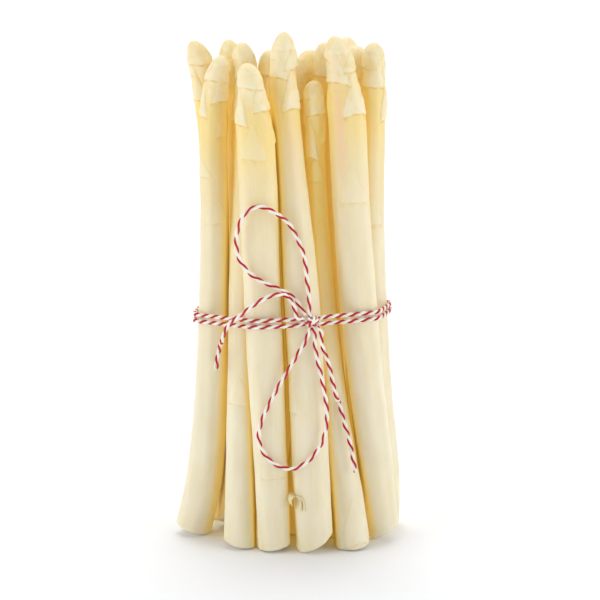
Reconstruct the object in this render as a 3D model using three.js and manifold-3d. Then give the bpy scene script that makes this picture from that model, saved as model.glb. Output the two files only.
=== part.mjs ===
// A bundle of white asparagus standing on its cut ends, tied at mid height with two turns of
// red-and-white twine, a knot in front, a bow of two loops and two free tails.
//
// Millimetres, +Z up, the front of the bundle towards -Y, the floor at z = 0.
// A spear's cross-sections are level circles, so that packing the circles height by height
// packs the spears.

import * as THREE from "three";
import { mergeVertices } from "three/addons/utils/BufferGeometryUtils.js";
import Module from "manifold-3d";

const wasm = await Module();
wasm.setup();

// Driving dimensions of the spears.
const WAIST = 98;
const HEAD = 30;
const LEAN_REACH = 42;
const BUD_BLUNTNESS = 0.52;
const STEM_RELIEF = 0.25;
const HEAD_RELIEF = 0.75;
const GAP = 0.24;
const SIDES = 10;
const SUNK = 0.9;

// Packing of the spears' axes, at levels one above the other.
const LEVEL_STEP = 20;
const LEVELS = 13;
const PUSH_ROUNDS = 240;
const SETTLE_ROUNDS = 400;
const SMOOTHING = 0.15;

// The twine, and the tilted plane that its two turns lie in.
const TWINE = 1.9;
const TWINE_SIDES = 8;
const TWINE_STEP = 5.6;
const TIE_HEIGHT = 98;
const TIE_RISE_X = 0.042;
const TIE_RISE_Y = -0.0975;
const TURN_SPREAD = 1.35;
const TURN_STEP = 3.6;
const TURN_CLEARANCE = 0.42;
const TIE_ZONE = 12;
const KNOT = { x: 9.5, z: 102.6, width: 7.2, depth: 5.8, height: 6.8, proud: 2 };
const DRAPE_REACH = 5;
const DRAPE_SAMPLES = 10;

// The middle of the tied stems on the floor plan, which the finished bundle stands on.
const MIDDLE = [-0.5, -6.83];

const SEED = 20417;

// Each spear: where its axis passes the floor, the tie and its tip, how far its foot and its head
// lean to the right, how long it is, its thickness at foot, waist, neck and head, the length of its
// bud, the rise of its cut across the foot with the way it rises, and the way its lowest head scale
// faces. The front row comes first, from left to right.
const SPEARS = [
  { foot: [-41.6, -4], waist: [-30.4, -9.2], tip: [-26.4, -13], lean: [-4.5, 4.8],
    length: 208, girth: [15.8, 13.2, 11.6, 10.2], bud: 11.5, cut: [4, 170], turn: 40 },
  { foot: [-20.6, -22], waist: [-17.7, -14.8], tip: [-18, -9.6], lean: [-1.2, -4.6],
    length: 213, girth: [14, 12.6, 9.6, 9.6], bud: 10, cut: [2.5, 170], turn: 225 },
  { foot: [-6.5, -25], waist: [-9.6, -28.2], tip: [-15.8, -26.5], lean: [0, -3],
    length: 206.8, girth: [14.4, 15.4, 15.4, 9.8], bud: 7.5, cut: [2, 0], turn: 55 },
  { foot: [12, -26], waist: [5.6, -27.2], tip: [-2.2, -16.5], lean: [0, 4],
    length: 218, girth: [15.8, 15.2, 11.8, 10.2], bud: 11.5, cut: [7.5, 25], turn: 310 },
  { foot: [25.6, -23], waist: [14.7, -15], tip: [10.4, -15.5], lean: [-2, -0.5],
    length: 198, girth: [14.8, 12.6, 8.6, 8.6], bud: 6.5, cut: [1, 0], turn: 237 },
  { foot: [40.2, -9], waist: [28.8, -19.6], tip: [18.8, -17], lean: [0, -4.2],
    length: 216.5, girth: [15.2, 15.6, 15, 10.6], bud: 10, cut: [6.5, 20], turn: 310 },
  { foot: [-31.6, 18], waist: [-27.4, 9.2], tip: [-37.4, 1.4], lean: [0, -5.5],
    length: 212, girth: [13.8, 13, 11, 9.6], bud: 8.5, cut: [0, 0], turn: 80 },
  { foot: [-25, 1], waist: [-21, -1.8], tip: [-26, 2.4], lean: [0, 2.8],
    length: 212.5, girth: [13.6, 12.4, 11, 9.2], bud: 9, cut: [7, 265], turn: 300 },
  { foot: [-11.2, -6.8], waist: [-3.6, -13.2], tip: [-9.2, -5], lean: [0, 1],
    length: 209, girth: [14, 12.8, 11, 9.8], bud: 9, cut: [0, 0], turn: 60 },
  { foot: [3.4, -2.6], waist: [2.6, 0.4], tip: [4.2, -3], lean: [0, 1],
    length: 206, girth: [14.2, 12.8, 11.4, 10.2], bud: 10, cut: [0, 0], turn: 355 },
  { foot: [18.4, -6], waist: [16.8, -1.4], tip: [14.4, -4], lean: [0, -1],
    length: 212, girth: [14.4, 12.8, 11.2, 10], bud: 9, cut: [0, 0], turn: 217 },
  { foot: [41, 9.8], waist: [35, -4.2], tip: [34.9, -7], lean: [-3.5, -1.8],
    length: 212.5, girth: [13.8, 13, 10.8, 9], bud: 7, cut: [0, 0], turn: 355 },
  { foot: [-16.8, 12.6], waist: [-13.8, 11], tip: [-5, 11], lean: [0, 0],
    length: 205, girth: [14.6, 13.4, 11.6, 10.4], bud: 10, cut: [0, 0], turn: 90 },
  { foot: [-2, 13.8], waist: [-2.4, 14.4], tip: [8.4, 10], lean: [0, 0.5],
    length: 207, girth: [14.2, 13.2, 11.2, 10], bud: 8, cut: [0, 0], turn: 40 },
  { foot: [12.6, 12], waist: [11.4, 14.2], tip: [24.7, 12], lean: [0, -1],
    length: 212, girth: [14.4, 13.4, 11.2, 10.2], bud: 8.5, cut: [0, 0], turn: 70 },
  { foot: [26.4, 18.2], waist: [26, 11.2], tip: [27.2, 1.8], lean: [0, 1.5],
    length: 210, girth: [14.6, 13.4, 11.4, 10.4], bud: 7.5, cut: [0, 0], turn: 217 },
];

// Bracts that show in front, by the spear's number: height of the base, length and way it faces.
const FRONT_BRACTS = {
  1: [[175, 12.5, 320], [158, 9, 215], [139, 10, 280], [44, 15, 130]],
  2: [[150, 12, 100], [63, 13, 250], [30, 14, 40]],
  3: [[169, 14, 258], [118, 14, 90], [34, 12, 275]],
  4: [[128, 14, 60], [62, 14, 200]],
  5: [[157, 10, 275], [112, 13, 60], [2.5, 20, 290]],
  6: [[150, 15.5, 275], [60, 15, 40]],
  12: [[137.5, 12, 275], [60, 14, 90]],
};

// Bracts of the other spears: the base's distance below the tip.
const BRACT_DROPS = [44, 76, 148, 182];
const BRACT_LENGTH = 14;
const BRACT_HALF_WIDTH = 44;

// Scales of the head: base's distance below the tip, length, half-width in degrees.
const HEAD_SCALES = [
  [31, 19, 50],
  [24, 17, 56],
  [18, 15, 66],
  [13.5, 12.4, 78],
  [9.6, 9, 88],
];
const GOLDEN_ANGLE = 137.5;

// The bow: points [x, z, how far the twine's middle stands in front of the stems].
const LAID = TWINE / 2 + GAP;
const BOW = {
  twine_loop_upper: [
    [8.4, 106.4, 0.6], [8.4, 110, 1.2], [8, 115, LAID], [7.4, 120, LAID], [6.4, 128.5, LAID],
    [3.6, 136, LAID], [0, 142.5, LAID], [-5, 147.4, LAID], [-9.6, 149.8, LAID], [-13.2, 150, LAID],
    [-17, 148, LAID], [-19.6, 143.4, LAID], [-21.2, 135.6, LAID], [-19.8, 128, LAID],
    [-15, 122, LAID], [-9, 118.4, LAID], [-3.8, 116, LAID], [0.4, 113.2, LAID], [4.2, 109.6, 0.8],
    [5.6, 107.2, 0.6],
  ],
  twine_loop_lower: [
    [8.2, 97.4, 0.4], [6.4, 93, 0.8], [3, 87, LAID], [-0.4, 81, LAID], [-4, 75, LAID],
    [-7.6, 68, LAID], [-10.8, 60.6, LAID], [-12.4, 53.2, LAID], [-10.6, 46, LAID], [-6, 41, LAID],
    [-1, 38.8, LAID], [4, 39.8, LAID], [10.4, 45, LAID], [14.6, 53, LAID], [15.8, 62, LAID],
    [15, 70.6, LAID], [13.4, 79, LAID], [11.6, 87, LAID], [10.8, 92.4, 0.8], [10.6, 97.4, 0.4],
  ],
  twine_tail_left: [
    [3.8, 104.2, 1.6], [2.4, 108.6, 2.6], [0.6, 112, 4], [-2, 114.2, 4.2], [-5, 114.4, 4],
    [-8, 113.4, 3.2], [-13.4, 110.4, 2.4], [-18, 106.6, 1.4], [-22, 103, LAID], [-24.8, 99.6, LAID],
    [-26.4, 96, LAID], [-27.4, 92.6, LAID], [-28.4, 89, LAID], [-29.2, 85, LAID], [-30, 81, LAID],
    [-30.4, 77, LAID],
  ],
  twine_tail_right: [
    [13.2, 98.2, 0.8], [13.4, 94.6, LAID], [13.9, 91.4, LAID], [15, 88, LAID], [16.2, 84.8, LAID],
    [17, 81.6, LAID], [17.6, 78.4, LAID], [18.3, 75, LAID], [19.1, 71.6, LAID], [20, 68, LAID],
    [20.9, 64.4, LAID], [21.8, 60.8, LAID], [22.7, 57.2, LAID], [23.7, 53.6, LAID],
    [24.8, 49.8, LAID], [26.2, 44, LAID], [27.1, 39, LAID], [28, 34.2, LAID],
  ],
};

const STEM_COLOUR = 0xeedeb4;
const TWINE_COLOUR = 0xd8453f;

const radians = (degrees) => degrees * Math.PI / 180;

// Repeatable draws: each spear has a stream of its own.
function stream(seed) {
  let state = seed;
  return () => {
    state = (state * 16807) % 2147483647;
    return state / 2147483647;
  };
}

function smoothstep(from, to, value) {
  const t = Math.min(Math.max((value - from) / (to - from), 0), 1);
  return t * t * (3 - 2 * t);
}

// Thickness along a spear: it tapers gently from foot to neck, and closes to a blunt point.
function spearRadius(spear, z) {
  const [foot, waist, neck, head] = spear.girth;
  const below = spear.length - z;
  if (below <= 0) return 0;
  if (below < spear.bud) return head / 2 * (1 - (1 - below / spear.bud) ** 2) ** BUD_BLUNTNESS;
  const stem = foot + (waist - foot) * smoothstep(0, WAIST, z)
    + (neck - waist) * smoothstep(WAIST, spear.length - HEAD, z);
  return (stem + (head - stem) * smoothstep(HEAD, spear.bud, below)) / 2;
}

// How far a spear reaches from its axis, with its bracts or scales.
function spearReach(spear, z) {
  const relief = z > spear.length - HEAD - 4 ? HEAD_RELIEF : STEM_RELIEF;
  return spearRadius(spear, z) + relief + GAP / 2;
}

// The parabola through foot, waist and tip, with foot and head leaning aside, before packing.
function drawnAxis(spear, z) {
  const top = spear.length;
  const atFoot = (z - WAIST) * (z - top) / (WAIST * top);
  const atWaist = z * (z - top) / (WAIST * (WAIST - top));
  const atTip = z * (z - WAIST) / (top * (top - WAIST));
  const [footLean, headLean] = spear.lean;
  const leaning = footLean * Math.max(1 - z / LEAN_REACH, 0) ** 2
    + headLean * Math.max(1 - (top - z) / LEAN_REACH, 0) ** 2;
  const [footX, tipX] = [spear.foot[0] - footLean, spear.tip[0] - headLean];
  const x = footX * atFoot + spear.waist[0] * atWaist + tipX * atTip + leaning;
  return [x, spear.foot[1] * atFoot + spear.waist[1] * atWaist + spear.tip[1] * atTip];
}

// Push apart every two spears that would overlap at a level.
function pushApart(axes, level) {
  const z = level * LEVEL_STEP;
  for (let i = 0; i < SPEARS.length; i++) {
    for (let j = i + 1; j < SPEARS.length; j++) {
      if (z > SPEARS[i].length || z > SPEARS[j].length) continue;
      const a = axes[i][level];
      const b = axes[j][level];
      const dx = b[0] - a[0];
      const dy = b[1] - a[1];
      const distance = Math.hypot(dx, dy);
      const short = spearReach(SPEARS[i], z) + spearReach(SPEARS[j], z) - distance;
      if (short <= 0) continue;
      const share = short / distance / 2;
      axes[i][level] = [a[0] - dx * share, a[1] - dy * share];
      axes[j][level] = [b[0] + dx * share, b[1] + dy * share];
    }
  }
}

// Spread what a push has moved along the spear, so that it bends and does not kink.
function smooth(axis, drawn) {
  const moved = axis.map((point, level) => [point[0] - drawn[level][0], point[1] - drawn[level][1]]);
  for (let level = 1; level < LEVELS - 1; level++) {
    for (const i of [0, 1]) {
      const middle = (moved[level - 1][i] + moved[level + 1][i]) / 2;
      axis[level][i] += SMOOTHING * (middle - moved[level][i]);
    }
  }
}

function packSpears() {
  const levels = Array.from({ length: LEVELS }, (_, level) => level);
  const drawn = SPEARS.map((spear) => levels.map((level) => drawnAxis(spear, level * LEVEL_STEP)));
  const axes = drawn.map((axis) => axis.map((point) => [...point]));
  for (let round = 0; round < PUSH_ROUNDS + SETTLE_ROUNDS; round++) {
    levels.forEach((level) => pushApart(axes, level));
    if (round < PUSH_ROUNDS) axes.forEach((axis, index) => smooth(axis, drawn[index]));
  }
  return axes;
}

const AXES = packSpears();

// A spear's axis at any height: a smooth curve through its packed levels.
function axisAt(index, z) {
  const levels = AXES[index];
  const place = Math.min(Math.max(z / LEVEL_STEP, 0), LEVELS - 1.001);
  const level = Math.floor(place);
  const t = place - level;
  const at = (k) => levels[Math.min(Math.max(k, 0), LEVELS - 1)];
  return [0, 1].map((i) => {
    const [p, q, r, s] = [at(level - 1)[i], at(level)[i], at(level + 1)[i], at(level + 2)[i]];
    return q + t * (r - p + t * (2 * p - 5 * q + 4 * r - s + t * (3 * (q - r) + s - p))) / 2;
  });
}

// A point on a spear, lifted off its surface, at a height and a direction round the axis.
function onSpear(index, z, angle, lift) {
  const [x, y] = axisAt(index, z);
  const radius = Math.max(spearRadius(SPEARS[index], z) + lift, 0.05);
  return [x + radius * Math.cos(angle), y + radius * Math.sin(angle), z];
}

function geometryOf(points, triangles) {
  const geometry = new THREE.BufferGeometry();
  geometry.setAttribute("position", new THREE.Float32BufferAttribute(points.flat(), 3));
  geometry.setIndex(triangles.flat());
  return geometry;
}

// Skin between rings of equally many points, closed at each end by a point of its own.
function ringSkin(rings, start, end) {
  const count = rings[0].length;
  const points = [...rings.flat(), start, end];
  const triangles = [];
  const [first, last] = [points.length - 2, points.length - 1];
  const lastRing = (rings.length - 1) * count;
  for (let k = 0; k < count; k++) {
    const next = (k + 1) % count;
    triangles.push([first, next, k], [last, lastRing + k, lastRing + next]);
    for (let ring = 0; ring < rings.length - 1; ring++) {
      const [low, high] = [ring * count, (ring + 1) * count];
      triangles.push([low + k, low + next, high + next], [low + k, high + next, high + k]);
    }
  }
  return geometryOf(points, triangles);
}

// Stem and bud, from the cut foot to the tip.
function stemGeometry(index) {
  const spear = SPEARS[index];
  const [rise, facing] = spear.cut;
  const neck = spear.length - HEAD;
  const heights = [0, 0.13, 0.27, 0.42, 0.57, 0.71, 0.86, 1].map((share) => share * neck);
  const bud = [1, 0.68, 0.38, 0.14].map((share) => spear.length - share * spear.bud);
  const rings = [...heights, spear.length - 2 * HEAD / 3, ...bud].map((height, ring) => {
    return Array.from({ length: SIDES }, (_, k) => {
      const angle = 2 * Math.PI * k / SIDES;
      const slant = ring === 0 ? rise * (1 + Math.cos(angle - radians(facing))) / 2 : 0;
      return onSpear(index, height + slant, angle, 0);
    });
  });
  const footMiddle = [...axisAt(index, rise / 2), rise / 2];
  const tip = [...axisAt(index, spear.length), spear.length];
  return ringSkin(rings, footMiddle, tip);
}

// One scale or bract: a pointed plate lying on the spear, its underside sunk in the stem.
function scaleGeometry(index, scale) {
  const { base, length, facing, halfWidth, lift, rows, columns } = scale;
  const points = [];
  const triangles = [];
  const row = (share, height) => {
    const width = halfWidth * (1 - share ** 1.7) ** 0.8;
    return Array.from({ length: columns + 1 }, (_, k) => {
      const across = 2 * k / columns - 1;
      return onSpear(index, base + length * share, facing + width * across, height);
    });
  };
  for (const height of [lift, -SUNK]) {
    for (let r = 0; r < rows; r++) points.push(...row(r / rows, height));
    points.push(onSpear(index, base + length, facing, height));
  }
  const span = columns + 1;
  const sheet = rows * span + 1;
  const face = (a, b, c) => {
    triangles.push([a, b, c], [sheet + a, sheet + c, sheet + b]);
  };
  const wall = (a, b) => triangles.push([a, sheet + a, sheet + b], [a, sheet + b, b]);
  for (let r = 0; r < rows; r++) {
    const low = r * span;
    const isLast = r === rows - 1;
    const high = isLast ? sheet - 1 : low + span;
    for (let k = 0; k < columns; k++) {
      if (isLast) face(low + k, low + k + 1, high);
      else {
        face(low + k, low + k + 1, high + k + 1);
        face(low + k, high + k + 1, high + k);
      }
      if (r === 0) wall(k, k + 1);
    }
    wall(low + columns, isLast ? high : high + columns);
    wall(high, low);
  }
  return geometryOf(points, triangles);
}

// The scales that clothe a head, and the few bracts up its stem.
function scalesOf(index) {
  const spear = SPEARS[index];
  const draw = stream(SEED + 977 * index);
  const scales = [];
  const drawn = BRACT_DROPS.map((drop, step) => [
    spear.length - drop * (0.95 + 0.1 * draw()),
    BRACT_LENGTH * (0.8 + 0.4 * draw()),
    spear.turn - GOLDEN_ANGLE * (step + 1),
  ]);
  for (const [base, length, facing] of FRONT_BRACTS[index + 1] ?? drawn) {
    const halfWidth = radians(BRACT_HALF_WIDTH * (0.85 + 0.3 * draw()));
    const size = { base, length, facing: radians(facing), halfWidth };
    scales.push({ ...size, lift: STEM_RELIEF, rows: 2, columns: 2 });
  }
  let facing = spear.turn;
  HEAD_SCALES.forEach(([below, length, halfWidth]) => {
    scales.push({
      base: spear.length - below * (0.97 + 0.06 * draw()),
      length,
      facing: radians(facing),
      halfWidth: radians(halfWidth),
      lift: HEAD_RELIEF, rows: 2, columns: 3,
    });
    facing += GOLDEN_ANGLE + 12 * (draw() - 0.5);
  });
  return scales;
}

function toSolid(geometry) {
  const bare = geometry.clone();
  bare.deleteAttribute("normal");
  bare.deleteAttribute("uv");
  const merged = mergeVertices(bare, 1e-4);
  return new wasm.Manifold(new wasm.Mesh({
    numProp: 3,
    vertProperties: new Float32Array(merged.attributes.position.array),
    triVerts: new Uint32Array(merged.index.array),
  }));
}

function fromSolid(solid) {
  const mesh = solid.getMesh();
  const geometry = new THREE.BufferGeometry();
  geometry.setAttribute("position", new THREE.BufferAttribute(mesh.vertProperties, 3));
  geometry.setIndex(new THREE.BufferAttribute(mesh.triVerts, 1));
  return geometry;
}

function spearGeometry(index) {
  let solid = toSolid(stemGeometry(index));
  for (const scale of scalesOf(index)) solid = solid.add(toSolid(scaleGeometry(index, scale)));
  return fromSolid(solid);
}

// The height of the tie's plane over any point of the floor plan.
const tieHeight = (x, y) => TIE_HEIGHT + TIE_RISE_X * x + TIE_RISE_Y * y;

// The stretched outline round all the spears at the tie, where no bract stands: for every
// direction, the outermost point of the outermost spear.
function tieOutline(offset) {
  const steps = 720;
  const outline = [];
  for (let step = 0; step <= steps; step++) {
    const angle = radians(-90 + 360 * step / steps);
    const [ux, uy] = [Math.cos(angle), Math.sin(angle)];
    let best = -Infinity;
    let point = null;
    SPEARS.forEach((spear, index) => {
      const [roughX, roughY] = axisAt(index, TIE_HEIGHT);
      const z = tieHeight(roughX, roughY) + offset;
      const [x, y] = axisAt(index, z);
      const reach = spearRadius(spear, z) + TWINE / 2 + TURN_CLEARANCE;
      const far = x * ux + y * uy + reach;
      if (far <= best) return;
      best = far;
      point = [x + reach * ux, y + reach * uy];
    });
    outline.push(new THREE.Vector3(point[0], point[1], tieHeight(...point) + offset));
  }
  return outline;
}

// Points at equal steps along a polyline.
function evenSteps(points, step) {
  const lengths = [0];
  for (let i = 1; i < points.length; i++) {
    lengths.push(lengths[i - 1] + points[i].distanceTo(points[i - 1]));
  }
  const total = lengths[lengths.length - 1];
  const count = Math.max(Math.round(total / step), 2);
  let i = 1;
  return Array.from({ length: count + 1 }, (_, k) => {
    const want = total * k / count;
    while (i < points.length - 1 && lengths[i] < want) i++;
    const span = lengths[i] - lengths[i - 1] || 1;
    return points[i - 1].clone().lerp(points[i], Math.min((want - lengths[i - 1]) / span, 1));
  });
}

const TIE_OUTLINE = evenSteps(tieOutline(0), 1);

// Where the foremost surface of the stems lies, seen from the front, over a narrow window.
function frontOfStems(x, z) {
  let front = Infinity;
  for (let sample = -DRAPE_SAMPLES; sample <= DRAPE_SAMPLES; sample++) {
    const sampleX = x + DRAPE_REACH * sample / DRAPE_SAMPLES;
    SPEARS.forEach((spear, index) => {
      const [axisX, axisY] = axisAt(index, z);
      const reach = spearReach(spear, z);
      const side = sampleX - axisX;
      if (Math.abs(side) < reach) front = Math.min(front, axisY - Math.sqrt(reach ** 2 - side ** 2));
    });
  }
  return front;
}

// Where the middle of the tie's turns passes in front, over the same window.
function frontOfTie(x) {
  const near = TIE_OUTLINE.filter((point) => point.y < 0 && Math.abs(point.x - x) < DRAPE_REACH);
  return Math.min(...near.map((point) => point.y));
}

// The foremost surface of stems and tie together.
function frontAt(x, z) {
  const stems = frontOfStems(x, z);
  const nearness = smoothstep(TIE_ZONE, TIE_ZONE / 2, Math.abs(z - tieHeight(x, stems)));
  return stems + nearness * Math.min(frontOfTie(x) - TWINE / 2 - stems, 0);
}

// A swept tube of twine with closed ends.
function twineGeometry(points) {
  const radius = TWINE / 2 / Math.cos(Math.PI / TWINE_SIDES) ** 0.5;
  const rings = [];
  const side = new THREE.Vector3();
  points.forEach((point, i) => {
    const along = points[Math.min(i + 1, points.length - 1)].clone()
      .sub(points[Math.max(i - 1, 0)]).normalize();
    if (i === 0) side.crossVectors(along, new THREE.Vector3(0, -1, 0.2));
    side.addScaledVector(along, -side.dot(along)).normalize();
    const up = new THREE.Vector3().crossVectors(along, side);
    rings.push(Array.from({ length: TWINE_SIDES }, (_, k) => {
      const angle = 2 * Math.PI * (k + 0.5) / TWINE_SIDES;
      return point.clone().addScaledVector(side, radius * Math.cos(angle))
        .addScaledVector(up, radius * Math.sin(angle)).toArray();
    }));
  });
  return ringSkin(rings, points[0].toArray(), points[points.length - 1].toArray());
}

const knotMiddle = new THREE.Vector3(KNOT.x, frontOfTie(KNOT.x) - KNOT.proud, KNOT.z);

// One turn of the tie, cut away where the knot sits.
function turnGeometry(offset) {
  const clear = KNOT.width / 2 + GAP;
  const outline = evenSteps(tieOutline(offset), 1);
  const isFree = (point) => point.y > 0 || Math.abs(point.x - KNOT.x) > clear;
  const start = outline.findIndex((point) => point.x > KNOT.x && isFree(point));
  const turned = [...outline.slice(start), ...outline.slice(1, start)].filter(isFree);
  return twineGeometry(evenSteps(turned, TURN_STEP));
}

function bowGeometry(route) {
  const points = route.map(([x, z, lift]) => new THREE.Vector3(x, frontAt(x, z) - lift, z));
  const curve = new THREE.CatmullRomCurve3(points, false, "centripetal");
  return twineGeometry(evenSteps(curve.getPoints(20 * points.length), TWINE_STEP));
}

// The knot: a small round heart with three crossing wraps of twine.
function knotGeometry() {
  const heart = new THREE.SphereGeometry(1, 8, 5);
  heart.scale(KNOT.width / 2 * 0.8, KNOT.depth / 2 * 0.8, KNOT.height / 2 * 0.8);
  const wraps = [[90, 20], [38, 8]].map(([pitch, roll]) => {
    const wrap = new THREE.TorusGeometry(KNOT.height / 2 - TWINE / 2, TWINE / 2, 5, 9);
    wrap.rotateX(radians(pitch));
    wrap.rotateY(radians(roll));
    return wrap;
  });
  let solid = toSolid(heart);
  for (const wrap of wraps) solid = solid.add(toSolid(wrap));
  const geometry = fromSolid(solid);
  return geometry.translate(...knotMiddle.toArray());
}

function meshOf(name, geometry, colour, roughness) {
  const material = new THREE.MeshStandardMaterial({ color: colour, roughness, metalness: 0 });
  const mesh = new THREE.Mesh(geometry, material);
  mesh.name = name;
  return mesh;
}

const bundle = new THREE.Group();
bundle.position.set(-MIDDLE[0], -MIDDLE[1], 0);
SPEARS.forEach((_, index) => {
  const name = `spear_${String(index + 1).padStart(2, "0")}`;
  bundle.add(meshOf(name, spearGeometry(index), STEM_COLOUR, 0.5));
});
bundle.add(meshOf("twine_turn_upper", turnGeometry(TURN_SPREAD), TWINE_COLOUR, 0.85));
bundle.add(meshOf("twine_turn_lower", turnGeometry(-TURN_SPREAD), TWINE_COLOUR, 0.85));
bundle.add(meshOf("twine_knot", knotGeometry(), TWINE_COLOUR, 0.85));
for (const [name, route] of Object.entries(BOW)) {
  bundle.add(meshOf(name, bowGeometry(route), TWINE_COLOUR, 0.85));
}

export default bundle;
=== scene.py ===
"""A bundle of white asparagus, tied with red-and-white twine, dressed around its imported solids."""

import math
from collections import namedtuple

import bpy
import numpy as np
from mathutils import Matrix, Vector


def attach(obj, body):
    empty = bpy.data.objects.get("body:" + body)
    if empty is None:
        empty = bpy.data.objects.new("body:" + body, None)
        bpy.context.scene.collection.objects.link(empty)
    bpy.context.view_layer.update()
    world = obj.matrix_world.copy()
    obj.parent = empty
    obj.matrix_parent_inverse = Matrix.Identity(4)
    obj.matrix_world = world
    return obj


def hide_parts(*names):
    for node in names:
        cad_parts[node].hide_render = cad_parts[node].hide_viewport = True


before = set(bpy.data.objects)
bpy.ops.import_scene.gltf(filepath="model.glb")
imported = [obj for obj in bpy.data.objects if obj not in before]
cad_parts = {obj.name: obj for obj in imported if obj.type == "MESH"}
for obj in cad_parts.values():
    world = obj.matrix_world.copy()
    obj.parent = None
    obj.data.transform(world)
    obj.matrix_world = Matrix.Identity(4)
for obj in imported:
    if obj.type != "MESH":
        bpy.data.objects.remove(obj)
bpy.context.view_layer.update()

MM = 0.001

# The camera of the photograph: a long lens, looking slightly down at the middle of the bundle.
PICTURE = 600
PIXELS_PER_MM = 2.36
CAMERA_DISTANCE = 1000
CAMERA_ELEVATION = 14
AIM = (4.66, 0, 102)
SENSOR = 36

# The studio, in metres: the floor just under the cut ends, then the suns (name, azimuth and
# elevation in degrees, strength, width in degrees) and the even light from all round.
FLOOR_REACH = 6
FLOOR_DROP = 0.0002
SUNS = (("left", 198, 20, 1.15, 50), ("right", 342, 20, 1.1, 50), ("top", 90, 62, 1.55, 60))
SKY_STRENGTH = 0.43

# The spears' driving dimensions in millimetres, as in the solids.
WAIST = 98
HEAD = 30
SCALY_HEAD = HEAD + 4
LEAN_REACH = 42
BUD_BLUNTNESS = 0.52
STEM_RELIEF = 0.25
HEAD_RELIEF = 0.75
GAP = 0.24
LEVEL_STEP = 20
LEVELS = 13
PUSH_ROUNDS = 240
SETTLE_ROUNDS = 400
SMOOTHING = 0.15
MIDDLE = (-0.5, -6.83)
SEED = 20417
SEED_STEP = 977
GOLDEN_ANGLE = 137.5

# The twine, and the tilted plane that its two turns lie in.
TWINE = 1.9
TIE_HEIGHT = 98
TIE_RISE_X = 0.042
TIE_RISE_Y = -0.0975
TURN_SPREAD = 1.35
TURN_CLEARANCE = 0.42
TIE_ZONE = 12
TIE_WAYS = 720
KNOT_X, KNOT_Z, KNOT_WIDTH, KNOT_PROUD = 9.5, 102.6, 7.2, 2
DRAPE_REACH = 5
DRAPE_SAMPLES = 10
LAID = TWINE / 2 + GAP

# Each spear: its axis at the floor, the tie and the tip, how far its foot and its head lean to the
# right, its length, its thickness at foot, waist, neck and head, the length of its bud, the rise of
# its cut with the way it rises, and the way its lowest head scale faces.
Spear = namedtuple("Spear", "foot waist tip lean length girth bud cut turn")
SPEARS = [
    Spear((-41.6, -4), (-30.4, -9.2), (-26.4, -13), (-4.5, 4.8),
          208, (15.8, 13.2, 11.6, 10.2), 11.5, (4, 170), 40),
    Spear((-20.6, -22), (-17.7, -14.8), (-18, -9.6), (-1.2, -4.6),
          213, (14, 12.6, 9.6, 9.6), 10, (2.5, 170), 225),
    Spear((-6.5, -25), (-9.6, -28.2), (-15.8, -26.5), (0, -3),
          206.8, (14.4, 15.4, 15.4, 9.8), 7.5, (2, 0), 55),
    Spear((12, -26), (5.6, -27.2), (-2.2, -16.5), (0, 4),
          218, (15.8, 15.2, 11.8, 10.2), 11.5, (7.5, 25), 310),
    Spear((25.6, -23), (14.7, -15), (10.4, -15.5), (-2, -0.5),
          198, (14.8, 12.6, 8.6, 8.6), 6.5, (1, 0), 237),
    Spear((40.2, -9), (28.8, -19.6), (18.8, -17), (0, -4.2),
          216.5, (15.2, 15.6, 15, 10.6), 10, (6.5, 20), 310),
    Spear((-31.6, 18), (-27.4, 9.2), (-37.4, 1.4), (0, -5.5),
          212, (13.8, 13, 11, 9.6), 8.5, (0, 0), 80),
    Spear((-25, 1), (-21, -1.8), (-26, 2.4), (0, 2.8),
          212.5, (13.6, 12.4, 11, 9.2), 9, (7, 265), 300),
    Spear((-11.2, -6.8), (-3.6, -13.2), (-9.2, -5), (0, 1),
          209, (14, 12.8, 11, 9.8), 9, (0, 0), 60),
    Spear((3.4, -2.6), (2.6, 0.4), (4.2, -3), (0, 1),
          206, (14.2, 12.8, 11.4, 10.2), 10, (0, 0), 355),
    Spear((18.4, -6), (16.8, -1.4), (14.4, -4), (0, -1),
          212, (14.4, 12.8, 11.2, 10), 9, (0, 0), 217),
    Spear((41, 9.8), (35, -4.2), (34.9, -7), (-3.5, -1.8),
          212.5, (13.8, 13, 10.8, 9), 7, (0, 0), 355),
    Spear((-16.8, 12.6), (-13.8, 11), (-5, 11), (0, 0),
          205, (14.6, 13.4, 11.6, 10.4), 10, (0, 0), 90),
    Spear((-2, 13.8), (-2.4, 14.4), (8.4, 10), (0, 0.5),
          207, (14.2, 13.2, 11.2, 10), 8, (0, 0), 40),
    Spear((12.6, 12), (11.4, 14.2), (24.7, 12), (0, -1),
          212, (14.4, 13.4, 11.2, 10.2), 8.5, (0, 0), 70),
    Spear((26.4, 18.2), (26, 11.2), (27.2, 1.8), (0, 1.5),
          210, (14.6, 13.4, 11.4, 10.4), 7.5, (0, 0), 217),
]

# Bracts that show in front, by the spear's number: height of the base, length and way it faces.
FRONT_BRACTS = {
    1: ((175, 12.5, 320), (158, 9, 215), (139, 10, 280), (44, 15, 130)),
    2: ((150, 12, 100), (63, 13, 250), (30, 14, 40)),
    3: ((169, 14, 258), (118, 14, 90), (34, 12, 275)),
    4: ((128, 14, 60), (62, 14, 200)),
    5: ((157, 10, 275), (112, 13, 60), (2.5, 20, 290)),
    6: ((150, 15.5, 275), (60, 15, 40)),
    12: ((137.5, 12, 275), (60, 14, 90)),
}

# Bracts of the other spears, and the scales of every head, as in the solids; then the smallest
# scales, right at the tip: how far below it they start, their length and half-width in degrees.
BRACT_DROPS = (44, 76, 148, 182)
BRACT_LENGTH = 14
BRACT_HALF_WIDTH = 44
HEAD_SCALES = ((31, 19, 50), (24, 17, 56), (18, 15, 66), (13.5, 12.4, 78), (9.6, 9, 88))
TIP_SCALES = ((6.6, 7.4, 62), (5.4, 6.2, 66), (4, 4.8, 72))

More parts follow.
